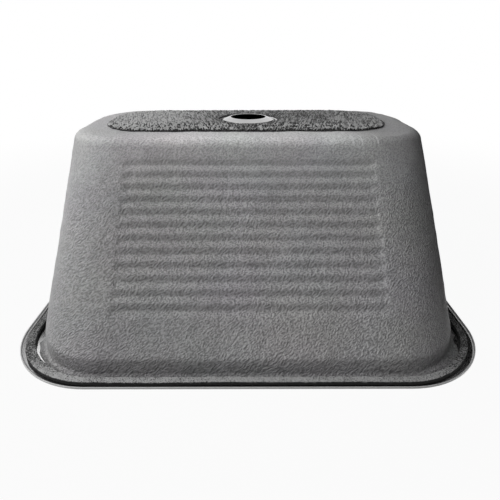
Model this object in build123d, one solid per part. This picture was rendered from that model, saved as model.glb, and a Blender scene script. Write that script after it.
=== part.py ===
from build123d import *
import os
from math import atan, cos, radians, sin, tan

# A pressed steel laundry sink with a washboard, lying face down on its rim.
# The floor is z = 0, the bowl's bottom is up and the washboard wall is at -Y.
# Turned over for use, what is up here points down into the cabinet.

# Steel sheet and rim
rim_width = 520.0
rim_depth = 430.0
rim_corner_radius = 98.0
steel_thickness = 1.0
lip_height = 3.2
lip_bend_radius = 2.0

# Rim edge to the outside of the bowl's steel, at the collar
front_flange = 19.0
side_flange = 30.0
back_flange = 26.5

# Bowl, measured on the outside of the steel
bowl_height = 214.5
bowl_corner_radius = 78.0
collar_height = 20.5
front_lean = 38.5
side_lean = 1.2
back_lean = 2.0
bottom_edge_radius = 13.5
foot_radius = 6.0

# Washboard pressed into the leaning front wall
rib_count = 12
rib_pitch = 15.0
rib_depth = 2.6
rib_land = 0.5
rib_flank_rise = 0.2
rib_root_radius = 1.2
rib_length = 296.0
rib_end_run = 6.0
washboard_height = 123.0

# Drain seat, which stands up round the hole in this pose: a short steep wall,
# then a shallow cone from its shoulder up to a narrow level land
drain_y = 80.0
drain_diameter = 50.0
seat_land_diameter = 54.0
seat_shoulder_diameter = 72.0
seat_base_diameter = 78.0
seat_rise = 6.0
seat_shoulder_rise = 2.7

# Sprayed undercoat on the outside of the bowl
coat_thickness = 1.2
coat_foot_clearance = 0.5
coat_seat_clearance = 1.0

# Sound pad stuck on the coated bottom, a little to the left and slightly turned
pad_width = 378.0
pad_depth = 163.5
pad_corner_radius = 62.0
pad_thickness = 3.0
pad_y = 74.5
pad_drift = -2.5
pad_turn = 1.0
pad_drain_diameter = 84.0

# Foam gasket stuck on the back of the flange, laid a little to the left
gasket_width = 7.8
gasket_height = 5.0
gasket_front_inset = 4.6
gasket_side_inset = 7.4
gasket_back_inset = 7.4
gasket_corner_radius = 92.0
gasket_drift = -1.6
gasket_joint_gap = 0.5

# Room past a face, so that a cutting solid passes right through it
cut_margin = 5.0

# How far an edge may lie from the height it is looked for at
edge_tolerance = 0.01


# The bowl's level outline at one height, for a surface that lies grow outside the steel.
# A wall's shift is divided by the cosine of its lean, so that grow is a true wall thickness.
def bowl_outline(height, grow):
    rise = height - collar_height
    front_angle, side_angle, back_angle = radians(front_lean), radians(side_lean), radians(back_lean)
    half_width = rim_width / 2 - side_flange - rise * tan(side_angle) + grow / cos(side_angle)
    front_y = front_flange - rim_depth / 2 + rise * tan(front_angle) - grow / cos(front_angle)
    back_y = rim_depth / 2 - back_flange - rise * tan(back_angle) + grow / cos(back_angle)
    middle = Pos(0, (front_y + back_y) / 2, height)
    return middle * RectangleRounded(2 * half_width, back_y - front_y, bowl_corner_radius + grow)


# The height where the upright collar meets the leaning front wall on that surface
def collar_top(grow):
    return collar_height + grow * tan(radians(front_lean) / 2)


# The leaning front wall's own plane, with Y up the slope and Z out of the bowl
def washboard_plane(grow):
    lean = radians(front_lean)
    front_y = front_flange - rim_depth / 2 + (washboard_height - collar_height) * tan(lean)
    on_steel = Plane((0, front_y, washboard_height), x_dir=(1, 0, 0), z_dir=(0, -cos(lean), sin(lean)))
    return on_steel.offset(grow)


# One pressed groove across the slope: two rounded flanks that meet in a narrow root.
# A flank bulges by rib_flank_rise past the straight line from its land to the root.
def groove_profile():
    half = (rib_pitch - rib_land) / 2
    land = Vector(half, 0)
    root = Vector(0, -rib_depth)
    bulge = Vector(-rib_depth, half).normalized() * rib_flank_rise
    middle = (land + root) / 2 + bulge
    right = ThreePointArc(land, middle, root)
    left = ThreePointArc(root, Vector(-middle.X, middle.Y), Vector(-land.X, land.Y))
    cover = Polyline((-half, 0), (-half, cut_margin), (half, cut_margin), (half, 0))
    face = make_face([right, left, cover])
    return fillet(face.vertices().sort_by(Axis.Y)[0], rib_root_radius)


# All the grooves, as one cutting solid with ends that run out to the wall at a slant
def washboard_cutter(grow):
    end_slope = rib_end_run / rib_depth
    top_half = rib_length / 2 + cut_margin * end_slope
    root_half = rib_length / 2 - (rib_depth + cut_margin) * end_slope
    ends = Polyline(
        (-top_half, cut_margin),
        (top_half, cut_margin),
        (root_half, -rib_depth - cut_margin),
        (-root_half, -rib_depth - cut_margin),
        (-top_half, cut_margin),
    )
    board_half = rib_count * rib_pitch / 2 + cut_margin
    hull = extrude(Plane.XZ * make_face(ends), amount=board_half, both=True)
    groove = extrude(Plane.YZ * groove_profile(), amount=top_half, both=True)
    first = -(rib_count - 1) / 2 * rib_pitch
    grooves = [Pos(0, first + index * rib_pitch, 0) * groove for index in range(rib_count)]
    return washboard_plane(grow) * (hull & (Part() + grooves))


# How far a corner of the seat's outline moves when both of its faces move out by grow.
# The two angles are the slopes of the faces, measured from level.
def corner_shift(first_slope, second_slope, grow):
    both = Vector(sin(first_slope) + sin(second_slope), 0, cos(first_slope) + cos(second_slope))
    return both * grow / (1 + cos(first_slope - second_slope))


# The seat as a solid of revolution whose surface lies grow outside the steel
def seat_form(grow):
    base = Vector(seat_base_diameter / 2, 0, bowl_height)
    shoulder = Vector(seat_shoulder_diameter / 2, 0, bowl_height + seat_shoulder_rise)
    land = Vector(seat_land_diameter / 2, 0, bowl_height + seat_rise)
    wall_slope = atan((shoulder.Z - base.Z) / (base.X - shoulder.X))
    cone_slope = atan((land.Z - shoulder.Z) / (shoulder.X - land.X))
    base += corner_shift(0, wall_slope, grow)
    shoulder += corner_shift(wall_slope, cone_slope, grow)
    land += corner_shift(cone_slope, 0, grow)
    outline = Polyline((0, 0, base.Z), base, shoulder, land, (0, 0, land.Z), close=True)
    return Pos(0, drain_y, 0) * revolve(make_face(outline), Axis.Z)


# A solid bowl whose surface lies grow outside the steel, from start_height up to its bottom
def bowl_form(grow, start_height):
    seam = collar_top(grow)
    top = bowl_height + grow
    wall_foot = bowl_outline(seam, grow)
    collar = extrude(wall_foot, amount=seam - start_height, dir=(0, 0, -1))
    walls = loft([wall_foot, bowl_outline(top, grow)], ruled=True)
    walls = fillet(walls.faces().sort_by(Axis.Z)[-1].edges(), bottom_edge_radius + grow)
    return collar + walls - washboard_cutter(grow)


# A rounded rectangle that lies inset inside the rim's edge
def rim_outline(inset):
    return RectangleRounded(rim_width - 2 * inset, rim_depth - 2 * inset, rim_corner_radius - inset)


# The level edges at one height that lie inside the rim's turned edge
def flange_edges(shape, height):
    level = shape.edges().filter_by_position(Axis.Z, height - edge_tolerance, height + edge_tolerance)
    half_width = rim_width / 2 - steel_thickness - lip_bend_radius
    half_depth = rim_depth / 2 - steel_thickness - lip_bend_radius
    corner = rim_corner_radius - steel_thickness - lip_bend_radius
    inside = RectangleRounded(2 * half_width, 2 * half_depth, corner)
    found = []
    for edge in level:
        middle = edge @ 0.5
        if inside.distance_to(Vertex(middle.X, middle.Y, 0)) < edge_tolerance:
            found.append(edge)
    return found


def make_steel_bowl():
    tray = extrude(rim_outline(0), amount=lip_height)
    tray = fillet(tray.faces().sort_by(Axis.Z)[0].edges(), lip_bend_radius)
    hollow = Pos(0, 0, steel_thickness) * extrude(rim_outline(steel_thickness), amount=lip_height)
    hollow = fillet(hollow.faces().sort_by(Axis.Z)[0].edges(), lip_bend_radius - steel_thickness)
    outside = tray - hollow + bowl_form(0, 0)
    outside = fillet(flange_edges(outside, steel_thickness), foot_radius)
    outside += seat_form(0)
    inside = bowl_form(-steel_thickness, -cut_margin) + seat_form(-steel_thickness)
    steel = outside - inside
    steel = fillet(flange_edges(steel, 0), foot_radius + steel_thickness)
    return steel - Pos(0, drain_y, bowl_height) * Cylinder(drain_diameter / 2, 2 * (seat_rise + cut_margin))


# The coat starts just above the bend into the flange, which stays bare
def make_undercoat():
    foot_height = steel_thickness + foot_radius + coat_foot_clearance
    coat = bowl_form(coat_thickness, foot_height) - bowl_form(0, 0)
    opening = Cylinder(seat_base_diameter / 2 + coat_seat_clearance, 2 * cut_margin)
    return coat - Pos(0, drain_y, bowl_height) * opening


def make_sound_pad():
    place = Pos(pad_drift, pad_y) * Rot(0, 0, pad_turn)
    outline = place * RectangleRounded(pad_width, pad_depth, pad_corner_radius)
    drain = Pos(0, drain_y) * Circle(pad_drain_diameter / 2)
    return Pos(0, 0, bowl_height + coat_thickness) * extrude(outline - drain, amount=pad_thickness)


# One strip bent round the bowl, with its two ends meeting behind it
def make_rim_gasket():
    width = rim_width - 2 * gasket_side_inset
    depth = rim_depth - gasket_front_inset - gasket_back_inset
    outer = RectangleRounded(width, depth, gasket_corner_radius)
    inner_radius = gasket_corner_radius - gasket_width
    inner = RectangleRounded(width - 2 * gasket_width, depth - 2 * gasket_width, inner_radius)
    joint = Pos(0, depth / 2) * Rectangle(gasket_joint_gap, 4 * gasket_width)
    middle = Pos(gasket_drift, (gasket_front_inset - gasket_back_inset) / 2, steel_thickness)
    return middle * extrude(outer - inner - joint, amount=gasket_height)


pieces = {
    "steel_bowl": make_steel_bowl(),
    "undercoat": make_undercoat(),
    "bottom_sound_pad": make_sound_pad(),
    "rim_gasket": make_rim_gasket(),
}

os.makedirs("parts", exist_ok=True)
for name, piece in pieces.items():
    export_step(piece, f"parts/{name}.step")
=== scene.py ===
import math

import bpy
import numpy as np
from mathutils import Matrix, Vector


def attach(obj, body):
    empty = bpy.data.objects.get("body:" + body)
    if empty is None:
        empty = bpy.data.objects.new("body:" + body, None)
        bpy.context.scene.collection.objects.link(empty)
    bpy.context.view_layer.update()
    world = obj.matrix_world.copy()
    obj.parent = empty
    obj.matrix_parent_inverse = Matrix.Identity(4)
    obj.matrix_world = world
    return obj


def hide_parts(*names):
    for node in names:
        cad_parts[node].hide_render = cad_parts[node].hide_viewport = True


# A pressed steel laundry sink with a washboard, lying face down on its rim.
# Metres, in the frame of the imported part: floor at z = 0, washboard towards -Y.

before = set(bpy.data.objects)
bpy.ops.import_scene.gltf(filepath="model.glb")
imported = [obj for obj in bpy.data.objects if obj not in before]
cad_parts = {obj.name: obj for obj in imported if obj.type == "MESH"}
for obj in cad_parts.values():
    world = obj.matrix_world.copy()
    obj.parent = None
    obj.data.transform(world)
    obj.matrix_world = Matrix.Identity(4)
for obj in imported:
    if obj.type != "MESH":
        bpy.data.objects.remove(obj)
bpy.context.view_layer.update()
mm = 0.001


def softMax(a, b, width):
    # the larger of two values, with the corner where they cross rounded over width
    return 0.5 * (a + b + np.sqrt((a - b) ** 2 + width ** 2))


def softMin(a, b, width):
    # the smaller of two values, with the corner where they cross rounded over width
    return 0.5 * (a + b - np.sqrt((a - b) ** 2 + width ** 2))


def smoothStep(t):
    # 0 below 0, 1 above 1, and 3t^2 - 2t^3 in between
    t = np.clip(t, 0, 1)
    return t * t * (3 - 2 * t)


def between(value, start, end):
    # 0 at start, 1 at end, and smooth in between
    return smoothStep((value - start) / (end - start))


def waves(points, length, count, seed):
    # uneven swell with a spread of about 1: the sum of count plane sine waves of about that length,
    # in random directions
    random = np.random.default_rng(seed)
    direction = random.normal(size=(count, 3))
    direction /= np.linalg.norm(direction, axis=1)[:, None]
    number = 2 * np.pi / (length * random.uniform(0.7, 1.5, count))
    phase = random.uniform(0, 2 * np.pi, count)
    total = np.zeros(points.shape[:-1])
    for k, n, p in zip(direction, number, phase):
        total += np.sin(points @ (k * n) + p)
    return total * math.sqrt(2 / count)


def gridMesh(name, points, closedRows, capped=False, marks=None):
    # a mesh over a grid of points [row, column, xyz]. The columns close round, and the rows close on
    # themselves or end in caps. Each of marks is a value for every point, kept as an attribute
    rows, columns = points.shape[:2]
    index = np.arange(rows * columns).reshape(rows, columns)
    if closedRows:
        index = np.vstack([index, index[:1]])
    across = np.roll(index, -1, axis=1)
    quads = np.stack([index[:-1], across[:-1], across[1:], index[1:]], axis=-1).reshape(-1, 4)
    flat = points.reshape(-1, 3)
    a, b, c, d = (flat[quads[:, i]] for i in range(4))
    # six times the volume inside, which is below zero where the faces look inwards
    volume = np.einsum("ij,ij->i", a, np.cross(b, c)).sum() + np.einsum("ij,ij->i", a, np.cross(c, d)).sum()
    ends = [index[0][::-1].tolist(), index[-1].tolist()] if capped else []
    if volume < 0:
        quads = quads[:, ::-1]
        ends = [end[::-1] for end in ends]
    mesh = bpy.data.meshes.new(name)
    mesh.from_pydata(flat.tolist(), [], quads.tolist() + ends)
    for label, values in (marks or {}).items():
        mark = mesh.attributes.new(label, "FLOAT", "POINT")
        mark.data.foreach_set("value", values.ravel().astype(np.float32))
    mesh.update()
    mesh.shade_smooth()
    made = bpy.data.objects.new(name, mesh)
    bpy.context.scene.collection.objects.link(made)
    return made


class Wire:
    # a node's output; the operators add Math nodes to its tree
    def __init__(self, tree, socket):
        self.tree, self.socket = tree, socket

    def node(self, kind, settings, sockets, output=0):
        # any node: its type, its settings, then the values or links of its sockets
        made = self.tree.nodes.new(kind)
        for name, value in settings.items():
            setattr(made, name, value)
        for name, value in sockets.items():
            if isinstance(value, Wire):
                self.tree.links.new(value.socket, made.inputs[name])
            else:
                made.inputs[name].default_value = value
        return Wire(self.tree, made.outputs[output] if made.outputs else None)

    def maths(self, operation, *others, clamp=False):
        values = dict(enumerate((self, *others)))
        return self.node("ShaderNodeMath", {"operation": operation, "use_clamp": clamp}, values)

    def __add__(self, other):
        return self.maths("ADD", other)

    def __sub__(self, other):
        return self.maths("SUBTRACT", other)

    def __rsub__(self, other):
        return self.node("ShaderNodeMath", {"operation": "SUBTRACT"}, {0: other, 1: self})

    def __mul__(self, other):
        return self.maths("MULTIPLY", other)

    def __truediv__(self, other):
        return self.maths("DIVIDE", other)

    def ramp(self, low, high):
        # 0 at low, 1 at high, smooth in between
        return self.node("ShaderNodeMapRange", {"interpolation_type": "SMOOTHSTEP"},
                         {"Value": self, "From Min": low, "From Max": high})

    def noise(self, size, detail=2.0, roughness=0.5, stretch=(1, 1, 1), output=0):
        # noise on this vector, with grains about size metres across
        scaled = self.node("ShaderNodeMapping", {}, {"Vector": self, "Scale": stretch})
        return scaled.node("ShaderNodeTexNoise", {}, {
            "Vector": scaled, "Scale": 1 / size, "Detail": detail, "Roughness": roughness}, output)

    def vector(self, operation, *others, output=0):
        values = dict(enumerate((self, *others)))
        return self.node("ShaderNodeVectorMath", {"operation": operation}, values, output)

    def split(self):
        # the vector's three parts
        return [self.node("ShaderNodeSeparateXYZ", {}, {"Vector": self}, output=i) for i in range(3)]

    def surface(self):
        # the three parts of the surface's direction
        return self.node("ShaderNodeNewGeometry", {}, {}, output="Normal").split()

    def mixed(self, first, second):
        # a colour between two, by this value
        sockets = {"Factor": self, 6: first, 7: second}
        return self.node("ShaderNodeMix", {"data_type": "RGBA"}, sockets, output=2)

    def bump(self, distance):
        return self.node("ShaderNodeBump", {}, {"Height": self, "Distance": distance, "Strength": 1.0})


def startMaterial(name):
    # an empty material, and the place on the piece in metres
    material = bpy.data.materials.new(name)
    material.use_nodes = True
    material.node_tree.nodes.clear()
    tree = material.node_tree
    place = Wire(tree, tree.nodes.new("ShaderNodeTexCoord").outputs["Object"])
    return material, place


def finishMaterial(place, sockets):
    shader = place.node("ShaderNodeBsdfPrincipled", {}, sockets)
    place.node("ShaderNodeOutputMaterial", {}, {"Surface": shader})


def grey(value):
    # a grey from its 0-255 screen value, by the sRGB curve
    linear = ((value / 255 + 0.055) / 1.055) ** 2.4
    return (linear, linear, linear, 1)


def dress(piece, material, node):
    # the new piece takes its material and the CAD node's place, and rides with the part
    piece.data.materials.append(material)
    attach(piece, "root")
    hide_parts(node)


camera = {
    "place": (0.0, -566.9 * mm, 325.0 * mm),
    "pitchDown": 20.0,
    "yaw": -0.24,
    "roll": 0.07,
    "focalPixels": 448.5,
    "axisRow": 202.3,
    "imageSize": 500,
    "sensor": 36.0,
}

lens = bpy.data.cameras.new("camera")
lens.sensor_width = camera["sensor"]
lens.lens = camera["focalPixels"] / camera["imageSize"] * camera["sensor"]
lens.shift_y = (camera["axisRow"] - camera["imageSize"] / 2) / camera["imageSize"]
lens.clip_start, lens.clip_end = 0.01, 50
shot = bpy.data.objects.new("camera", lens)
bpy.context.scene.collection.objects.link(shot)
turn = Matrix.Rotation(math.radians(camera["yaw"]), 3, "Z")
tilt = Matrix.Rotation(math.radians(90 - camera["pitchDown"]), 3, "X")
spin = Matrix.Rotation(math.radians(camera["roll"]), 3, "Z")
shot.rotation_euler = (turn @ tilt @ spin).to_euler()
shot.location = camera["place"]
bpy.context.scene.camera = shot
print("camera placed")


bowl = {
    "halfWidth": 230.0 * mm,          # of the steel, at the collar
    "frontY": -196.0 * mm,
    "backY": 188.5 * mm,
    "cornerRadius": 78.0 * mm,
    "height": 214.5 * mm,
    "collarHeight": 20.5 * mm,
    "frontLean": math.radians(38.5),
    "sideLean": math.radians(1.2),
    "backLean": math.radians(2.0),
    "edgeRadius": 13.5 * mm,
    "bendRadius": 6.0 * mm,           # of the bend into the flange
    "bendTop": 7.0 * mm,
    "drain": (0.0, 80.0 * mm),
}

washboard = {
    "grooves": 12,
    "pitch": 15.0 * mm,
    "depth": 2.6 * mm,
    "crestSoftness": 1.3 * mm,
    "rootSoftness": 0.6 * mm,
    "middleHeight": 123.0 * mm,
    "reach": (145.2 * mm, 148.2 * mm),    # from the middle to the grooves' ends, left and right
    "endSlope": 0.42,
    "endSoftness": 0.7 * mm,
    "rowsPerGroove": 10,
}

gasket = {
    "width": 505.2 * mm,
    "depth": 418.0 * mm,
    "cornerRadius": 92.0 * mm,
    "stripWidth": 7.8 * mm,
    "stripHeight": 5.0 * mm,
    "middle": (-1.6 * mm, -1.4 * mm),
    "bottom": 1.0 * mm,
    "highest": 6.0 * mm,
    "jointGap": 0.5 * mm,
    "steps": 1400,
    "around": 26,
    "squareness": 0.28,
    "wander": 0.35 * mm,
    "wanderLength": 120.0 * mm,
    "leftIn": 3.0 * mm,               # how much further in the strip lies along the left side
    "leftAcross": (-170.0 * mm, -210.0 * mm),
    "leftAlong": (120.0 * mm, 20.0 * mm),
    "outerLeftAlong": (-165.0 * mm, -115.0 * mm),     # its outer side stays out round the front corner
    "pores": 0.16 * mm,
    "poreLengths": (4.0 * mm, 11.0 * mm),
}

coat = {
    "thickness": 1.2 * mm,
    "innerGap": 0.05 * mm,            # between its inner surface and the steel
    "openingRadius": 40.0 * mm,       # round the drain
    "collarSoftness": 1.6 * mm,
    "collarBlend": 4.0 * mm,
    "frontColumns": 84,
    "cornerColumns": 22,
    "sideColumns": 26,
    "backColumns": 40,
    "endCrowding": 0.08,              # brings the front's columns closer together near the grooves' ends
    "footHeights": [7.7 * mm, 8.9 * mm, 10.5 * mm, 12.1 * mm],
    "collarHeights": (14.0 * mm, 28.0 * mm, 1.25 * mm),     # from, to and step
    "lowerFrom": 29.0 * mm,
    "lowerRows": 9,
    "upperShares": [0.3, 0.55, 0.8, 1.0],
    "edgeRows": 11,
    "bottomShares": [0.03, 0.08, 0.16, 0.3, 0.5, 0.7, 0.88, 1.0],
    "swell": 0.22 * mm,
    "swellLength": 55.0 * mm,
    "lumps": 0.10 * mm,
    "lumpLength": 15.0 * mm,
    "swellLimit": 0.6 * mm,
    "swellHeights": (4.0 * mm, 11.0 * mm),      # it begins and is full at these
    # the skirt is the spray's thin edge below the wall; of its pairs the first is for the left
    "skirtRun": (7.2 * mm, 13.5 * mm),      # how far down and out it goes from the top of the bend
    "cornerRun": (14.0 * mm, 9.9 * mm),     # and round the front corners
    "cornerFull": (0.35, 0.6),        # how far forwards the wall faces where that is reached
    "gasketFrom": (0.83, 0.28),       # and where the skirt begins to go on up to the gasket
    "gasketOver": 0.2,
    "gasketGap": 0.2 * mm,
    "gasketSteps": 24,
    "bareGap": 5.4 * mm,              # bare round the left front corner, 3 mm of it under the gasket
    "leastRun": 2.0 * mm,
    "ragged": (1.0 * mm, 0.8 * mm),
    "raggedLengths": (12.0 * mm, 4.0 * mm),
    "skirtThickness": 0.22 * mm,
    "skirtTaper": 1.5,
    "skirtRows": 12,
    "skirtLastShare": 0.04,
}


def perimeterColumns():
    # Once round the bowl, from the front's left end: where each column's base stands, from -1 to 1 across
    # and along, and the level direction that its wall faces.
    front = np.linspace(-1, 1, coat["frontColumns"], endpoint=False)
    front = front - coat["endCrowding"] * np.sin(2 * np.pi * front) * np.abs(front)
    turn = np.linspace(0, np.pi / 2, coat["cornerColumns"], endpoint=False)
    side = np.linspace(-1, 1, coat["sideColumns"], endpoint=False)
    back = np.linspace(-1, 1, coat["backColumns"], endpoint=False)
    corner = np.ones_like(turn)
    across = [front, corner, np.ones_like(side), corner, -back, -corner, -np.ones_like(side), -corner]
    along = [-np.ones_like(front), -corner, side, corner, np.ones_like(back), corner, -side, -corner]
    facing = [np.full_like(front, -np.pi / 2), turn - np.pi / 2, np.zeros_like(side), turn,
              np.full_like(back, np.pi / 2), turn + np.pi / 2, np.full_like(side, np.pi), turn + np.pi]
    across, along, facing = (np.concatenate(part) for part in (across, along, facing))
    return across, along, np.cos(facing), np.sin(facing)


def wallRows():
    # heights of the wall's rows, with the same number of rows in every groove
    step = washboard["pitch"] * math.cos(bowl["frontLean"]) / washboard["rowsPerGroove"]
    half = washboard["grooves"] * washboard["rowsPerGroove"] // 2
    middle = washboard["middleHeight"] + coat["thickness"] * math.sin(bowl["frontLean"])
    board = middle + step * np.arange(-half, half + 1)
    lower = np.linspace(coat["lowerFrom"], board[0], coat["lowerRows"], endpoint=False)
    return np.concatenate([coat["footHeights"], np.arange(*coat["collarHeights"]), lower, board])


def gasketDistance(start, way):
    # how far it is from each point, level along its way, to the gasket's inner edge,
    # found by going on again and again by the least distance left
    radius = gasket["cornerRadius"] - gasket["stripWidth"]
    half = np.array([gasket["width"], gasket["depth"]]) / 2 - gasket["cornerRadius"]
    gone = np.zeros(len(start))
    for step in range(coat["gasketSteps"]):
        beyond = np.abs(start + gone[:, None] * way - np.array(gasket["middle"])) - half
        outside = np.linalg.norm(np.clip(beyond, 0, None), axis=1) + np.clip(beyond.max(axis=1), None, 0)
        gone += radius - outside
    return gone


def skirtRuns(foot, columns):
    # how far the spray goes down and out from each column's foot, measured along the steel
    along, nx, ny = columns[1:]
    left = nx < 0
    leftFront = left & (along < 0.5)
    toGasket = gasketDistance(foot, np.stack([nx, ny], axis=-1)) - coat["gasketGap"]
    toGasket += bowl["bendRadius"] * (np.pi / 2 - 1)       # the bend is longer than its radius by that
    line = np.concatenate([foot, 0 * foot[:, :1]], axis=1)
    longer, shorter = coat["raggedLengths"]
    ragged = waves(line, longer, 24, 6) + 0.8 * waves(line, shorter, 24, 7)
    side, corner = (np.where(leftFront, *coat[name]) for name in ("skirtRun", "cornerRun"))
    run = side + (corner - side) * between(-ny, 0, np.where(left, *coat["cornerFull"]))
    run += np.where(left, *coat["ragged"]) * ragged
    gasketFrom = np.where(left, *coat["gasketFrom"])
    ahead = between(-ny, gasketFrom, gasketFrom + coat["gasketOver"])
    run += (toGasket - run) * ahead
    bareGap = coat["bareGap"] * leftFront * (1 - ahead)
    return np.clip(run, coat["leastRun"], toGasket - bareGap)


def skirtPoints(grow, foot, columns):
    # down round the steel's bend, where the angle is the way gone over the bend's radius, and then out
    # along the flange; it is thickest at the wall
    nx, ny = columns[2:]
    bend = bowl["bendRadius"]
    run = skirtRuns(foot, columns)
    gone = run * np.linspace(1, coat["skirtLastShare"], coat["skirtRows"])[:, None]
    turned = np.clip(gone / bend, 0, np.pi / 2)
    thin = min(grow, coat["skirtThickness"])
    thick = thin + (grow - thin) * (1 - gone / run) ** coat["skirtTaper"]
    out = bend - (bend - thick) * np.cos(turned) + np.clip(gone - bend * np.pi / 2, 0, None)
    height = bowl["bendTop"] - (bend - thick) * np.sin(turned)
    return np.stack([foot[:, 0] + out * nx, foot[:, 1] + out * ny, height], axis=-1)


def bowlPoints(grow):
    # The surface that lies grow outside the steel, as [row, column, xyz], and its direction at each point.
    # Wall: base(z) + R n, where the base moves in as z rises above the collar.
    # Bottom edge: a ball of radius r rolled along the wall, from the wall's lean to 90 degrees.
    # Bottom: straight from the edge to the circle round the drain.
    columns = perimeterColumns()
    across, along, nx, ny = columns
    radius = bowl["cornerRadius"] + grow
    kink = grow * math.tan(bowl["frontLean"] / 2)
    tanFront, tanSide, tanBack = (math.tan(bowl[name]) for name in ("frontLean", "sideLean", "backLean"))

    def base(height):
        rise = softMax(height - bowl["collarHeight"], kink, coat["collarSoftness"])
        halfWidth = bowl["halfWidth"] - rise * tanSide + grow / math.cos(bowl["sideLean"]) - radius
        front = bowl["frontY"] + rise * tanFront - grow / math.cos(bowl["frontLean"]) + radius
        back = bowl["backY"] - rise * tanBack + grow / math.cos(bowl["backLean"]) - radius
        return across * halfWidth, (front + back) / 2 + along * (back - front) / 2

    def facing(angle):
        # the columns' outward directions, turned up by that angle
        return np.stack([nx * np.cos(angle), ny * np.cos(angle), np.sin(angle)], axis=-1)

    # each column's lean, from how far its base moves for every step up
    moveX, moveY = -across * tanSide, (tanFront - tanBack) / 2 - along * (tanFront + tanBack) / 2
    lean = np.arctan(-(nx * moveX + ny * moveY))
    upright = facing(0 * nx)
    ball = bowl["edgeRadius"] + grow
    top = bowl["height"] + grow
    meet = top - ball + ball * np.sin(lean)

    heights = wallRows()[:, None] + 0 * nx
    upper = heights[-1] + (meet - heights[-1]) * np.array(coat["upperShares"])[:, None]
    heights = np.vstack([heights, upper])
    baseX, baseY = base(heights)
    wall = np.stack([baseX + radius * nx, baseY + radius * ny, heights], axis=-1)
    blendFrom, blendTo = (bowl["collarHeight"] + way * coat["collarBlend"] for way in (-1, 1))
    leaning = between(heights, blendFrom, blendTo)
    wallFacing = upright * (1 - leaning[..., None]) + facing(lean) * leaning[..., None]
    wallFacing /= np.linalg.norm(wallFacing, axis=-1, keepdims=True)

    foot = np.stack(base(bowl["bendTop"] + 0 * nx), axis=-1) + bowl["cornerRadius"] * upright[:, :2]
    skirtPart = skirtPoints(grow, foot, columns)

    turned = lean + (np.pi / 2 - lean) * np.linspace(0, 1, coat["edgeRows"] + 1)[1:, None]
    meetX, meetY = base(meet)
    inset = radius - ball * np.cos(lean) + ball * np.cos(turned)
    edge = np.stack([meetX + inset * nx, meetY + inset * ny, top - ball + ball * np.sin(turned)], axis=-1)

    drainX, drainY = bowl["drain"]
    rimX, rimY = edge[-1, :, 0] - drainX, edge[-1, :, 1] - drainY
    reach = np.hypot(rimX, rimY)
    distance = reach + (coat["openingRadius"] - reach) * np.array(coat["bottomShares"])[:, None]
    share = distance / reach
    bottom = np.stack([drainX + rimX * share, drainY + rimY * share, top + 0 * share], axis=-1)
    points = np.concatenate([skirtPart, wall, edge, bottom])
    directions = [np.broadcast_to(upright, skirtPart.shape), wallFacing, facing(turned),
                  np.broadcast_to((0.0, 0.0, 1.0), bottom.shape)]
    return points, np.concatenate(directions)


def grooveDepth(points, grow):
    # Depth of the washboard under the leaning wall: flat flanks between soft crests and narrower roots,
    # depth = slope * (distance from the crest), held under a slanted plane at the grooves' two ends.
    upSlope = (points[..., 2] - washboard["middleHeight"] - grow * math.sin(bowl["frontLean"]))
    upSlope = upSlope / math.cos(bowl["frontLean"])
    pitch, count = washboard["pitch"], washboard["grooves"]
    number = np.clip(np.round(upSlope / pitch + (count - 1) / 2), 0, count - 1)
    fromRoot = upSlope - (number - (count - 1) / 2) * pitch
    fromCrest = np.clip(pitch / 2 - np.sqrt(fromRoot ** 2 + washboard["rootSoftness"] ** 2), 0, None)
    soft = washboard["crestSoftness"]
    depth = (np.sqrt(fromCrest ** 2 + soft ** 2) - soft) * washboard["depth"] / (pitch / 2 - soft)
    reach = np.where(points[..., 0] < 0, *washboard["reach"])
    ends = (reach - np.abs(points[..., 0])) * washboard["endSlope"]
    return np.clip(softMin(depth, ends, washboard["endSoftness"]), 0, None)


def makeCoat():
    # outer and inner surface of the sprayed coat, joined at its foot and at the drain
    outer, outward = bowlPoints(coat["thickness"])
    inner = bowlPoints(coat["innerGap"])[0]
    along, ny = perimeterColumns()[1::2]
    onFront = (ny < -0.999) & (along < -0.5)
    frontOut = np.array([0, -math.cos(bowl["frontLean"]), math.sin(bowl["frontLean"])])
    wall = slice(coat["skirtRows"], coat["skirtRows"] + len(wallRows()))
    for points, grow in ((outer, coat["thickness"]), (inner, coat["innerGap"])):
        depth = grooveDepth(points[wall], grow) * onFront
        points[wall] -= depth[..., None] * frontOut
    # the spray is uneven on the walls and the bottom, and even at the foot
    swell = coat["swell"] * waves(outer, coat["swellLength"], 30, 3)
    swell += coat["lumps"] * waves(outer, coat["lumpLength"], 40, 4)
    swell = np.clip(swell, -coat["swellLimit"], coat["swellLimit"])
    swell *= between(outer[..., 2], *coat["swellHeights"])
    outer += swell[..., None] * outward
    return gridMesh("undercoat_spray", np.concatenate([outer, inner[::-1]]), True)


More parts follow.
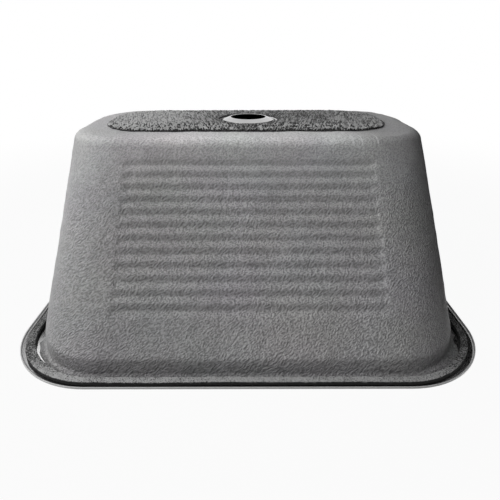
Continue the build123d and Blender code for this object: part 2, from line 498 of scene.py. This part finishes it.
coatLook = {
    "light": 180,                     # tones are screen values, from 0 to 255
    "dark": 110,
    "clouds": 90.0 * mm,
    "mottle": 12.0 * mm,
    "cloudTone": 0.27,
    "plainTone": 0.37,
    "middleTone": 0.22,               # the middle of the front is paler
    "middleSides": ((-120.0 * mm, 20.0 * mm), (230.0 * mm, 170.0 * mm)),
    "flankPaintedLight": 0.42,                # painted light: the grooves' flanks that face up are paler, and those that face down darker
    "flankPaintedLightUp": (0.25, 1.0),
    "flankPaintedLightAhead": (-0.1, -0.45),
    "top": 233,                       # painted sheen, paler over the bottom's edge
    "topHeights": (203.0 * mm, 215.0 * mm),
    "sheenRight": (105.0 * mm, 165.0 * mm),     # the painted sheen fades out here, and in part at the left
    "sheenLeft": (-60.0 * mm, -170.0 * mm),
    "sheenLeftFade": 0.65,
    # painted shade in the grain's pits
    "pitShade": 72,
    "pitShadeShare": 0.55,
    "pitShadeEdges": (0.28, 0.66),         # the grain's values in a pit's middle and outside it, where its painted shade is full and gone
    "grain": 1.5 * mm,
    "grainDepth": 1.5 * mm,
    "slant": math.radians(-45),
    "stretch": 0.5,
    "fullGrain": (195.0 * mm, 150.0 * mm),    # the grain is weaker above
    "smoothAside": (0.5, 0.9),        # and where the wall faces this far left or right
    "smoothHeights": (195.0 * mm, 170.0 * mm),
    "smoothPitShade": 0.3,
    "smoothRelief": 0.65,
    "peel": 1.2 * mm,
    "peelDepth": 0.5 * mm,
    "strongerSides": (100.0 * mm, -150.0 * mm),     # the relief grows from the right to the left
    "roughness": 0.4,
    # painted highlights of drips, in the painted sheen's tone: each one's place across and half width
    "dripHighlights": [(120.0 * mm, 1.3 * mm), (130.0 * mm, 1.0 * mm), (149.0 * mm, 1.0 * mm)],
    "dripSlant": 0.1,
    "dripAlong": ((-52.0 * mm, -44.0 * mm), (-18.0 * mm, -30.0 * mm)),
    "dripHeights": (190.0 * mm, 200.0 * mm),
    "dripBreaks": (0.35, 0.6),        # the orange peel's values that leave a drip out and let it show
    "dripShare": 0.8,
    "hueLength": 70.0 * mm,
    "hueSpread": 0.07,
    "hueMean": (0.97, 0.96, 0.972),
}


def coatMaterial():
    # Grey spray: cloudy tone, with a painted sheen over the bottom's edge, painted light and shade on the
    # grooves' flanks, a slanted grain with painted shade in its pits, and a finer orange peel. The grain and
    # the peel are weaker near the top and on the sides that face left and right.
    material, place = startMaterial("sprayedCoat")
    across, along, height = place.split()
    aside, ahead, up = place.surface()
    clouds = place.noise(coatLook["clouds"], 3.0, 0.55)
    mottle = place.noise(coatLook["mottle"], 3.0, 0.6)
    peel = place.noise(coatLook["peel"], 1.0, 0.5)
    slanted = place.node("ShaderNodeVectorRotate", {"rotation_type": "Y_AXIS"},
                         {"Vector": place, "Angle": coatLook["slant"]})
    grain = slanted.noise(coatLook["grain"], 0.0, 0.5, stretch=(1, 1, coatLook["stretch"]))

    middleLeft, middleRight = coatLook["middleSides"]
    middle = across.ramp(*middleLeft) * across.ramp(*middleRight) * along.ramp(0.0, -20.0 * mm)
    # painted light and shade on the grooves' flanks, by which way each one faces
    paintedFlankLight = (up.ramp(*coatLook["flankPaintedLightUp"]) - 0.5) * ahead.ramp(*coatLook["flankPaintedLightAhead"])
    tone = (clouds * 0.5 + mottle * 0.5).ramp(0.3, 0.7) * coatLook["cloudTone"] + coatLook["plainTone"]
    tone = tone + middle * coatLook["middleTone"] + paintedFlankLight * coatLook["flankPaintedLight"]
    colour = tone.mixed(grey(coatLook["dark"]), grey(coatLook["light"]))

    # painted sheen: the coat turns paler over the bottom's edge
    sheenEnds = 1 - across.ramp(*coatLook["sheenLeft"]) * coatLook["sheenLeftFade"]
    sheenEnds = (1 - across.ramp(*coatLook["sheenRight"])) * sheenEnds
    colour = (height.ramp(*coatLook["topHeights"]) * sheenEnds).mixed(colour, grey(coatLook["top"]))

    fullGrain = height.ramp(*coatLook["fullGrain"])
    smooth = aside.maths("ABSOLUTE").ramp(*coatLook["smoothAside"]) * height.ramp(*coatLook["smoothHeights"])
    # painted shade in the low spots of the grain
    pitShading = (1 - grain.ramp(*coatLook["pitShadeEdges"])) * (fullGrain * 0.25 + 0.75)
    pitShading = pitShading * (coatLook["pitShadeShare"] - smooth * coatLook["smoothPitShade"])
    colour = pitShading.mixed(colour, grey(coatLook["pitShade"]))

    # painted highlights where drips on the bottom's edge would catch the light; they have no relief
    dripBack, dripFront = coatLook["dripAlong"]
    dripHighlightCover = along.ramp(*dripBack) * along.ramp(*dripFront) * height.ramp(*coatLook["dripHeights"])
    dripHighlightCover = dripHighlightCover * peel.ramp(*coatLook["dripBreaks"]) * coatLook["dripShare"]
    for dripAcross, dripHalf in coatLook["dripHighlights"]:
        fromDrip = (across + along * coatLook["dripSlant"] - dripAcross).maths("ABSOLUTE")
        dripHighlight = fromDrip.ramp(dripHalf * 1.4, dripHalf * 0.4) * dripHighlightCover
        colour = dripHighlight.mixed(colour, grey(coatLook["top"]))

    hue = place.noise(coatLook["hueLength"], 1.0, 0.5, output=1)
    hue = hue.vector("MULTIPLY_ADD", (coatLook["hueSpread"],) * 3, coatLook["hueMean"])
    strength = fullGrain * 0.5 + clouds.ramp(0.3, 0.6) * 0.2 + 0.4
    strength = strength + across.ramp(*coatLook["strongerSides"]) * 0.15
    relief = grain * (coatLook["grainDepth"] / mm) + peel * (coatLook["peelDepth"] / mm)
    finishMaterial(place, {
        "Base Color": colour.vector("MULTIPLY", hue),
        "Roughness": peel * 0.2 + coatLook["roughness"],
        "Specular IOR Level": 0.5,
        "Normal": (relief * strength * (1 - smooth * coatLook["smoothRelief"])).bump(mm),
    })
    return material


coatPiece = makeCoat()
dress(coatPiece, coatMaterial(), "undercoat")
print("sprayed coat made", len(coatPiece.data.polygons))


pad = {
    "width": 378.0 * mm,
    "depth": 163.5 * mm,
    "cornerRadius": 62.0 * mm,
    "middle": (-2.5 * mm, 74.5 * mm),
    "turn": math.radians(1.0),
    "drainRadius": 42.0 * mm,
    "bottom": 215.5 * mm,
    "top": 218.5 * mm,
    "edgeRound": 1.1 * mm,
    "holeDip": 0.5 * mm,
    "holeCalm": (1.5 * mm, 6.5 * mm),     # the knots are low up to here from the cut-out
    "around": 1180,
    "sideShares": [0.0, 0.2, 0.4],        # of the thickness
    "insets": np.array([0, 0.35, 0.9, 1.6, 2.4, 3.3, 4.4, 5.8]) * mm,     # of the rows near the edge
    "topShares": (0.075, 0.985, 46),
    "holeShares": [0.995, 1.0],
    "underShares": [1.0, 0.6, 0.2, 0.03],
    "knots": 0.65 * mm,
    "knotLength": 2.0 * mm,
    "knotLimit": 1.9,
    "knotSlant": 0.16,                # the tufts lie nearly along Y, in two slants
    "knotStretch": 0.16,
    "patchLength": 45.0 * mm,
    "lumpLength": 7.0 * mm,
    "front": (45.0 * mm, 15.0 * mm),  # the knots grow to their full height between these two places
    "backKnots": 0.3,
    "lumps": 0.2,
    "fray": 0.55 * mm,
    "frayLengths": (3.2 * mm, 11.0 * mm),
    "frayReach": 4.0 * mm,
}

padLook = {
    # painted shade in the felt's hollows
    "pitShade": 26,
    "dark": 60,
    "spray": 190,
    "cover": (-0.65, 1.15),
    "edge": 2.5 * mm,
    "roughness": 0.8,
    "relief": 1.2 * mm,
    "stroke": 1.7 * mm,
    "strokeStretch": 0.12,
    "slant": math.radians(11),
    "slantChange": (-20.0 * mm, 20.0 * mm),
    "knotRelief": (0.4, 2.4),         # at the back, and how much more at the front
    "strokeRelief": (2.2, 5.5),
    "fibreRelief": 1.6,
    "fibre": 0.8 * mm,
    "drift": 70.0 * mm,
    "front": (45.0 * mm, 15.0 * mm),
    "leftShade": (0.55, -20.0 * mm, -140.0 * mm),     # how much more spray, and where
    "rightShade": (0.3, 50.0 * mm, 180.0 * mm),
    "drainShade": (0.35, 52.0 * mm, 42.5 * mm),       # painted shade round the drain's cut-out, as less spray there
    "coveredEdge": (-150.0 * mm, -190.0 * mm),        # where the edge is sprayed too
}


def roundedOutline(width, depth, radius, count):
    # count points at equal steps round a rounded rectangle about the origin,
    # and the level direction outwards at each
    straightX, straightY = width - 2 * radius, depth - 2 * radius
    runs = np.array([straightX, radius * np.pi / 2, straightY, radius * np.pi / 2] * 2)
    ends = np.concatenate([[0], np.cumsum(runs)])
    at = (np.arange(count) + 0.5) / count * ends[-1]
    run = np.clip(np.searchsorted(ends, at, side="right") - 1, 0, 7)
    share = (at - ends[run]) / runs[run]
    # where each run starts and ends, in half straight lengths, and the way it faces, in quarter turns
    startX = np.array([-1, 1, 1, 1, 1, -1, -1, -1])[run]
    endX = np.array([1, 1, 1, 1, -1, -1, -1, -1])[run]
    startY = np.array([-1, -1, -1, 1, 1, 1, 1, -1])[run]
    endY = np.array([-1, -1, 1, 1, 1, 1, -1, -1])[run]
    startTurn = np.array([-1, -1, 0, 0, 1, 1, 2, 2])[run]
    facing = (startTurn + np.where(run % 2 == 1, share, 0)) * np.pi / 2
    baseX = (startX + (endX - startX) * share) * straightX / 2
    baseY = (startY + (endY - startY) * share) * straightY / 2
    out = np.stack([np.cos(facing), np.sin(facing)], axis=-1)
    return np.stack([baseX, baseY], axis=-1) + radius * out, out


def padKnots(points):
    # the felt's tufts: waves drawn out along Y in two slants, each in its own patches
    x, y, z = points[..., 0], points[..., 1], points[..., 2]
    oneWay, otherWay = (np.stack([x + slant * y, pad["knotStretch"] * y, z], axis=-1)
                        for slant in (pad["knotSlant"], -pad["knotSlant"]))
    patch = smoothStep(0.5 + 0.6 * waves(points, pad["patchLength"], 30, 15) + 2.0 * x / (100 * mm))
    knots = waves(oneWay, pad["knotLength"], 48, 11) * (1 - patch)
    knots += waves(otherWay, pad["knotLength"], 48, 12) * patch
    atFront = between(y, *pad["front"])
    height = pad["backKnots"] + (1 - pad["backKnots"]) * atFront
    return height * knots + pad["lumps"] * waves(points, pad["lumpLength"], 40, 16)


def makePad():
    # A flat ring: every point lies on a line from the outline to the drain's cut-out, at a share of that
    # line. The top is knotted like needled felt, and the outline is frayed.
    outline, out = roundedOutline(pad["width"], pad["depth"], pad["cornerRadius"], pad["around"])
    cosTurn, sinTurn = math.cos(pad["turn"]), math.sin(pad["turn"])
    turn = np.array([[cosTurn, sinTurn], [-sinTurn, cosTurn]])
    outline, out = outline @ turn + np.array(pad["middle"]), out @ turn
    drain = np.array(bowl["drain"])
    reach = np.linalg.norm(outline - drain, axis=1)
    hole = drain + (outline - drain) / reach[:, None] * pad["drainRadius"]
    insets = pad["insets"]
    shares = np.concatenate([insets / (reach.mean() - pad["drainRadius"]), np.linspace(*pad["topShares"]),
                             pad["holeShares"]])

    def rings(shares, heights):
        level = outline[None] + (hole - outline)[None] * np.array(shares)[:, None, None]
        height = np.broadcast_to(np.array(heights)[:, None, None], (*level.shape[:2], 1))
        return np.concatenate([level, height], axis=-1)

    def perRow(side, edge, inner, under):
        # a value for each row: three at the side, those near the edge, the rest of the top, the underside
        inners = np.full(len(shares) - len(insets), inner)
        return np.concatenate([side, edge, inners, np.full(len(pad["underShares"]), under)])[:, None]

    topHeights = np.full(len(shares), pad["top"])
    fromRound = np.clip(pad["edgeRound"] - insets, 0, None)
    topHeights[:len(insets)] -= pad["edgeRound"] - np.sqrt(pad["edgeRound"] ** 2 - fromRound ** 2)
    topHeights[-1] -= pad["holeDip"]
    sideHeights = [pad["bottom"] + (pad["top"] - pad["bottom"]) * share for share in pad["sideShares"]]
    underHeights = [pad["bottom"]] * len(pad["underShares"])
    points = np.concatenate([rings([0] * len(sideHeights), sideHeights), rings(shares, topHeights),
                             rings(pad["underShares"], underHeights)])

    knots = padKnots(points)
    free = perRow([0.0, 0.5, 0.9], np.ones(len(insets)), 1.0, 0.0)
    free[-1 - len(underHeights)] = 0.5
    fromHole = np.linalg.norm(points[..., :2] - drain, axis=-1) - pad["drainRadius"]
    calm = between(fromHole, *pad["holeCalm"])
    high = points[..., 2] > pad["bottom"] + mm
    limited = np.clip(knots, -pad["knotLimit"], pad["knotLimit"])
    points[..., 2] += limited * pad["knots"] * free * high * (0.15 + 0.85 * calm)
    points[..., 2] -= pad["holeDip"] * (1 - calm) * high

    line = np.concatenate([outline, np.zeros((len(outline), 1))], axis=1)
    shorter, longer = pad["frayLengths"]
    fray = waves(line, shorter, 40, 13) + 0.8 * waves(line, longer, 30, 14)
    edgeShare = perRow([0.6, 1.0, 1.0], np.clip(1 - insets / pad["frayReach"], 0, 1), 0.0, 0.0)
    shift = pad["fray"] * np.clip(fray, -1.6, 1.2) * edgeShare
    points[..., :2] += shift[..., None] * out[None]

    knotMarks = np.clip(0.5 + 0.25 * knots, 0, 1)
    # the pad's sides and the top's outer edge stay unsprayed and dark, partly as a painted shadow along the
    # pad's edge
    bareEdgeAndShadowMarks = perRow([1.0, 1.0, 1.0], np.clip(1 - insets / padLook["edge"], 0, 1), 0.0, 1.0)
    bareEdgeAndShadowMarks = bareEdgeAndShadowMarks + 0 * knotMarks
    return gridMesh("sound_pad", points, True, marks={"knot": knotMarks, "bareEdgeAndShadow": bareEdgeAndShadowMarks})


def padMaterial():
    # dark felt under a dusting of grey spray that caught on its high knots, thicker at the left, with
    # painted shade in the felt's hollows and round the drain; its unsprayed edge is partly a painted shadow
    material, place = startMaterial("padFelt")
    knot, bareEdgeAndShadow = (place.node("ShaderNodeAttribute", {"attribute_name": name}, {}, output=2)
                      for name in ("knot", "bareEdgeAndShadow"))
    across, along = place.split()[:2]
    facing = place.surface()[2].ramp(0.2, 0.6)
    fibres = place.noise(padLook["fibre"], 1.0, 0.6)
    drift = place.noise(padLook["drift"], 2.0, 0.5)
    oneWay, otherWay = (
        place.node("ShaderNodeVectorRotate", {"rotation_type": "Z_AXIS"}, {"Vector": place, "Angle": slant})
        .noise(padLook["stroke"], 0.0, 0.5, stretch=(1, padLook["strokeStretch"], 1))
        for slant in (-padLook["slant"], padLook["slant"]))
    rightPart = (across + (drift - 0.5) * 0.3).ramp(*padLook["slantChange"])
    strokes = oneWay * (1 - rightPart) + otherWay * rightPart

    # relief is the height of a tuft, and the spray covers what is high
    atFront = along.ramp(*padLook["front"])
    relief = (fibres - 0.5) * padLook["fibreRelief"]
    for part, name in ((knot, "knotRelief"), (strokes, "strokeRelief")):
        atBack, more = padLook[name]
        relief = relief + (part - 0.5) * (atFront * more + atBack)
    fromDrain = place.vector("DISTANCE", (*bowl["drain"], pad["top"]), output="Value")
    leftShare, *leftPlaces = padLook["leftShade"]
    rightShare, *rightPlaces = padLook["rightShade"]
    drainShare, *drainPlaces = padLook["drainShade"]
    shade = across.ramp(*leftPlaces) * leftShare + across.ramp(*rightPlaces) * rightShare
    # painted shade round the drain's cut-out, made by taking spray away there
    shade = shade + (drift - 0.5) * 0.4 - fromDrain.ramp(*drainPlaces) * drainShare
    # the unsprayed dark edge and sides are partly a painted shadow along the pad's edge
    bare = bareEdgeAndShadow * (1 - across.ramp(*padLook["coveredEdge"]) * 0.6)
    cover = (relief + shade - bare * 0.9).ramp(*padLook["cover"]) * facing
    # the felt is darker where its relief is low: painted shade in the hollows
    felt = relief.ramp(-0.3, 0.2).mixed(grey(padLook["pitShade"]), grey(padLook["dark"]))
    finishMaterial(place, {
        "Base Color": cover.mixed(felt, grey(padLook["spray"])),
        "Roughness": padLook["roughness"],
        "Specular IOR Level": 0.3,
        "Normal": (strokes + fibres * 0.5).bump(padLook["relief"]),
    })
    return material


padPiece = makePad()
dress(padPiece, padMaterial(), "bottom_sound_pad")
print("sound pad made", len(padPiece.data.polygons))


def makeGasket():
    # A soft square section, carried along the flange from one side of the joint to the other:
    # x = cos(angle)^p and z = sin(angle)^p with their signs kept, in half widths and half heights.
    radius = gasket["cornerRadius"] - gasket["stripWidth"] / 2
    width, depth = gasket["width"] - gasket["stripWidth"], gasket["depth"] - gasket["stripWidth"]
    path, out = roundedOutline(width, depth, radius, gasket["steps"])
    fromJoint = np.abs(path[:, 0]) + 10 * (path[:, 1] < 0)         # the joint is at the back
    joint = int(np.argmin(fromJoint))
    path, out, fromJoint = (np.roll(part, -joint, axis=0) for part in (path, out, fromJoint))
    half = gasket["jointGap"] / 2
    path[0, 0], path[-1, 0] = -half, half
    fromJoint[0] = fromJoint[-1] = half
    keep = fromJoint >= half
    path, out = path[keep], out[keep]

    angle = np.linspace(0, 2 * np.pi, gasket["around"], endpoint=False)
    p = gasket["squareness"]
    sectionX = np.sign(np.cos(angle)) * np.abs(np.cos(angle)) ** p * gasket["stripWidth"] / 2
    sectionZ = np.sign(np.sin(angle)) * np.abs(np.sin(angle)) ** p * gasket["stripHeight"] / 2
    line = np.concatenate([path, np.zeros((len(path), 1))], axis=1)
    wander = gasket["wander"] * waves(line, gasket["wanderLength"], 24, 21)
    leftIn = between(path[:, 0], *gasket["leftAcross"]) * between(path[:, 1], *gasket["leftAlong"])
    leftIn *= gasket["leftIn"]
    outerIn = leftIn * between(path[:, 1], *gasket["outerLeftAlong"])
    sideIn = np.where(sectionX[None] < 0, leftIn[:, None], outerIn[:, None])
    side = sectionX[None] + wander[:, None] - sideIn
    level = path[:, None] + side[..., None] * out[:, None] + np.array(gasket["middle"])
    height = np.broadcast_to(sectionZ + gasket["bottom"] + gasket["stripHeight"] / 2, side.shape)
    points = np.concatenate([level, height[..., None]], axis=-1)

    shorter, longer = gasket["poreLengths"]
    pores = waves(points, shorter, 40, 22) + 0.7 * waves(points, longer, 24, 23)
    rough = gasket["pores"] * np.clip(pores, -2, 1.0)
    points[..., 2] += rough * np.clip(sectionZ / gasket["stripHeight"] + 0.5, 0, 1)
    points[..., :2] += (rough * np.sign(sectionX))[..., None] * out[:, None] * 0.8
    points[..., 2] = np.clip(points[..., 2], gasket["bottom"] + 0.02 * mm, gasket["highest"])
    return gridMesh("gasket_strip", points, False, capped=True)


gasketLook = {
    "foam": 22,
    "spray": 182,
    "cover": (0.2, 1.2),
    "pore": 1.1 * mm,
    "poreRelief": 0.8 * mm,
    "poreShare": 2.8,
    "patch": 20.0 * mm,
    "patchShare": 0.8,
    "topShare": 0.48,
    "front": (-170.0 * mm, -207.0 * mm),      # more spray along the front
    "frontShare": 0.54,
    "roughness": 0.85,
}


def gasketMaterial():
    # black foam, greyed on top where the spray drifted over it
    material, place = startMaterial("gasketFoam")
    along = place.split()[1]
    facing = place.surface()[2]
    pores = place.noise(gasketLook["pore"], 1.0, 0.6)
    patches = place.noise(gasketLook["patch"], 2.0, 0.6)
    cover = (pores - 0.5) * gasketLook["poreShare"] + (patches - 0.5) * gasketLook["patchShare"]
    cover = cover + along.ramp(*gasketLook["front"]) * gasketLook["frontShare"]
    cover = (cover + facing * gasketLook["topShare"]).ramp(*gasketLook["cover"]) * facing.ramp(0.0, 0.6)
    finishMaterial(place, {
        "Base Color": cover.mixed(grey(gasketLook["foam"]), grey(gasketLook["spray"])),
        "Roughness": gasketLook["roughness"],
        "Specular IOR Level": 0.3,
        "Normal": pores.bump(gasketLook["poreRelief"]),
    })
    return material


gasketPiece = makeGasket()
dress(gasketPiece, gasketMaterial(), "rim_gasket")
print("gasket made", len(gasketPiece.data.polygons))


steelLook = {
    "rimHalf": (260.0 * mm, 215.0 * mm),
    "rimRadius": 98.0 * mm,
    "grain": 1.0 * mm,
    "smudge": 50.0 * mm,
    "speckle": 1.3 * mm,
    "bare": (172, 192),
    "seatWallShade": 60,                   # painted shade on the steep wall under the drain seat's shoulder
    "seatWallRadii": (35.4 * mm, 36.4 * mm),
    "seatWallHeights": (212.0 * mm, 214.0 * mm),
    "paintedGlint": 252,                    # painted glint on the bare flange at the left front corner
    "glintAcross": (-180.0 * mm, -200.0 * mm),
    "glintAlong": (-120.0 * mm, -150.0 * mm),
    "glintInset": (11.0 * mm, 13.0 * mm),
    "spray": 206,
    "dustInset": 2.3 * mm,            # how far in from the rim's edge the overspray lies
    "dustHeights": (12.0 * mm, 10.0 * mm),
    "rightBare": 0.6,
    "rightPlaces": (190.0 * mm, 235.0 * mm),
    "roughness": 0.08,
}


def rimInset(place):
    # how far in from the rim's edge, seen from above: radius - |max(|xy| - (half - radius), 0)|
    radius = steelLook["rimRadius"]
    straight = [half - radius for half in steelLook["rimHalf"]]
    flat = place.vector("MULTIPLY", (1, 1, 0)).vector("ABSOLUTE")
    beyond = flat.vector("SUBTRACT", (*straight, 0)).vector("MAXIMUM", (0, 0, 0))
    return radius - beyond.vector("LENGTH", output="Value")


def steelMaterial():
    # satin steel; grey overspray lies on the rim's turned edge, seen from the bowl's outside, with painted
    # shade on the drain seat's wall and a painted glint at the left front corner
    material, place = startMaterial("satinSteel")
    across, along, height = place.split()
    facing = place.surface()[2]
    grain = place.noise(steelLook["grain"], 2.0, 0.6, stretch=(0.05, 1, 1))
    smudge = place.noise(steelLook["smudge"], 3.0, 0.6)
    speckle = place.noise(steelLook["speckle"], 3.0, 0.7)
    inset = rimInset(place)
    outside = facing.ramp(-0.5, -0.2) * height.ramp(*steelLook["dustHeights"])
    edge = (inset / steelLook["dustInset"] + (speckle - 0.5) * 0.9 + (smudge - 0.5) * 0.4).ramp(1.3, 0.75)
    dust = edge * outside * (1 - across.ramp(*steelLook["rightPlaces"]) * steelLook["rightBare"])

    bare = smudge.mixed(*(grey(tone) for tone in steelLook["bare"]))
    # painted shade on the seat's steep wall
    fromDrain = place.vector("MULTIPLY", (1, 1, 0)).vector("DISTANCE", (*bowl["drain"], 0), output="Value")
    seatWallShade = fromDrain.ramp(*steelLook["seatWallRadii"]) * height.ramp(*steelLook["seatWallHeights"])
    bare = (seatWallShade * 0.9).mixed(bare, grey(steelLook["seatWallShade"]))
    # painted glint: the bare flange at the left front corner is near white
    paintedGlint = across.ramp(*steelLook["glintAcross"]) * along.ramp(*steelLook["glintAlong"])
    paintedGlint = paintedGlint * inset.ramp(*steelLook["glintInset"])
    bare = paintedGlint.mixed(bare, grey(steelLook["paintedGlint"]))
    finishMaterial(place, {
        "Base Color": dust.mixed(bare, grey(steelLook["spray"])),
        "Metallic": 1 - dust,
        "Roughness": grain * 0.06 + smudge * 0.06 + steelLook["roughness"] + dust * 0.4,
        "Normal": (grain * 0.02 + speckle * dust * 0.4).bump(mm),
    })
    return material


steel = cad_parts["steel_bowl"]
steel.data.materials.clear()
steel.data.materials.append(steelMaterial())
print("steel finished", len(steel.data.polygons))


studio = {
    "lamps": {
        "lowLeft": {"place": (-1.6, 0.2, 0.6), "size": 1.1, "power": 11.7},
        "nearLeft": {"place": (-0.4, 0.0, 0.85), "size": 0.5, "power": 2.4},
        "frontLeft": {"place": (-1.0, -1.2, 1.0), "size": 1.1, "power": 14.0},
    },
    "aim": (0, 0, 0.12),
    "ambient": 0.02,
    "floorRadius": 6.0,
    "floorSides": 96,
    "floorDrop": 0.05 * mm,
    "floorTone": 0.35,
    "whiteShare": 0.95,
    "whiteFrom": (0.5, 1.3),          # how far out the floor turns fully white
    "maskInset": 6.0 * mm,
    "cards": {
        "leftCard": [(-1.95, 1.9, 0.95), (-0.95, 1.9, 0.95), (-0.95, 1.9, 1.56), (-1.95, 1.9, 1.56)],
        "rightCard": [(0.9, 1.9, 0.0), (2.6, 0.6, 0.0), (2.6, 0.6, 1.8), (0.9, 1.9, 1.8)],
        "lowCard": [(0.32, -0.3, 0.002), (2.6, -0.3, 0.002), (2.6, 1.9, 0.002), (0.32, 1.9, 0.002)],
    },
    "cardTone": 0.005,
}


def addLamp(name, settings):
    light = bpy.data.lights.new(name, "AREA")
    light.shape, light.size, light.energy = "SQUARE", settings["size"], settings["power"]
    lamp = bpy.data.objects.new(name, light)
    bpy.context.scene.collection.objects.link(lamp)
    lamp.location = settings["place"]
    lamp.rotation_euler = (Vector(studio["aim"]) - lamp.location).to_track_quat("-Z", "Y").to_euler()


def seenStraight(wire):
    # 1 for rays that show the background: from the camera, or by way of gloss or glass
    path = wire.tree.nodes.new("ShaderNodeLightPath")
    kinds = ("Is Camera Ray", "Is Glossy Ray", "Is Transmission Ray")
    camera, glossy, through = (Wire(wire.tree, path.outputs[name]) for name in kinds)
    return camera.maths("ADD", glossy).maths("ADD", through, clamp=True)


def flatFace(name, corners, material):
    mesh = bpy.data.meshes.new(name)
    mesh.from_pydata(corners, [], [list(range(len(corners)))])
    mesh.materials.append(material)
    face = bpy.data.objects.new(name, mesh)
    bpy.context.scene.collection.objects.link(face)
    return face


def makeFloor():
    # A wide disc. Most of its tone towards the camera is plain white, and the rest takes the part's shadow.
    # Under the part itself there is no white share, so the bowl's inside stays dark.
    material, place = startMaterial("paleFloor")
    diffuse = place.node("ShaderNodeBsdfDiffuse", {}, {"Color": (studio["floorTone"],) * 3 + (1,)})
    white = place.node("ShaderNodeEmission", {}, {"Color": (1, 1, 1, 1), "Strength": 1.0})
    outside = rimInset(place).maths("LESS_THAN", studio["maskInset"])
    far = place.vector("LENGTH", output="Value").ramp(*studio["whiteFrom"])
    share = seenStraight(place) * outside * (far * (1 - studio["whiteShare"]) + studio["whiteShare"])
    mixed = place.node("ShaderNodeMixShader", {}, {0: share, 1: diffuse, 2: white})
    place.node("ShaderNodeOutputMaterial", {}, {"Surface": mixed})
    angle = np.linspace(0, 2 * np.pi, studio["floorSides"], endpoint=False)
    ring = np.stack([np.cos(angle), np.sin(angle), 0 * angle], axis=-1) * studio["floorRadius"]
    floor = flatFace("floor", (ring - (0, 0, studio["floorDrop"])).tolist(), material)


def makeCard(name, corners):
    # a dark card out of the picture, which only glossy surfaces see
    material, place = startMaterial(name)
    tone = (studio["cardTone"],) * 3 + (1,)
    finishMaterial(place, {"Base Color": tone, "Roughness": 1.0, "Specular IOR Level": 0.0})
    card = flatFace(name, corners, material)
    card.visible_camera = card.visible_diffuse = card.visible_shadow = False


def makeWorld():
    world = bpy.data.worlds.new("studio")
    bpy.context.scene.world = world
    world.use_nodes = True
    world.node_tree.nodes.clear()
    start = Wire(world.node_tree, None)
    soft = start.node("ShaderNodeBackground", {}, {"Color": (1, 1, 1, 1), "Strength": studio["ambient"]})
    white = start.node("ShaderNodeBackground", {}, {"Color": (1, 1, 1, 1), "Strength": 1.0})
    mixed = start.node("ShaderNodeMixShader", {}, {0: seenStraight(start), 1: soft, 2: white})
    start.node("ShaderNodeOutputWorld", {}, {"Surface": mixed})


for lampName, lampSettings in studio["lamps"].items():
    addLamp(lampName, lampSettings)
makeFloor()
for cardName, cardCorners in studio["cards"].items():
    makeCard(cardName, cardCorners)
makeWorld()
bpy.context.scene.view_settings.view_transform = "Standard"
print("studio lit")
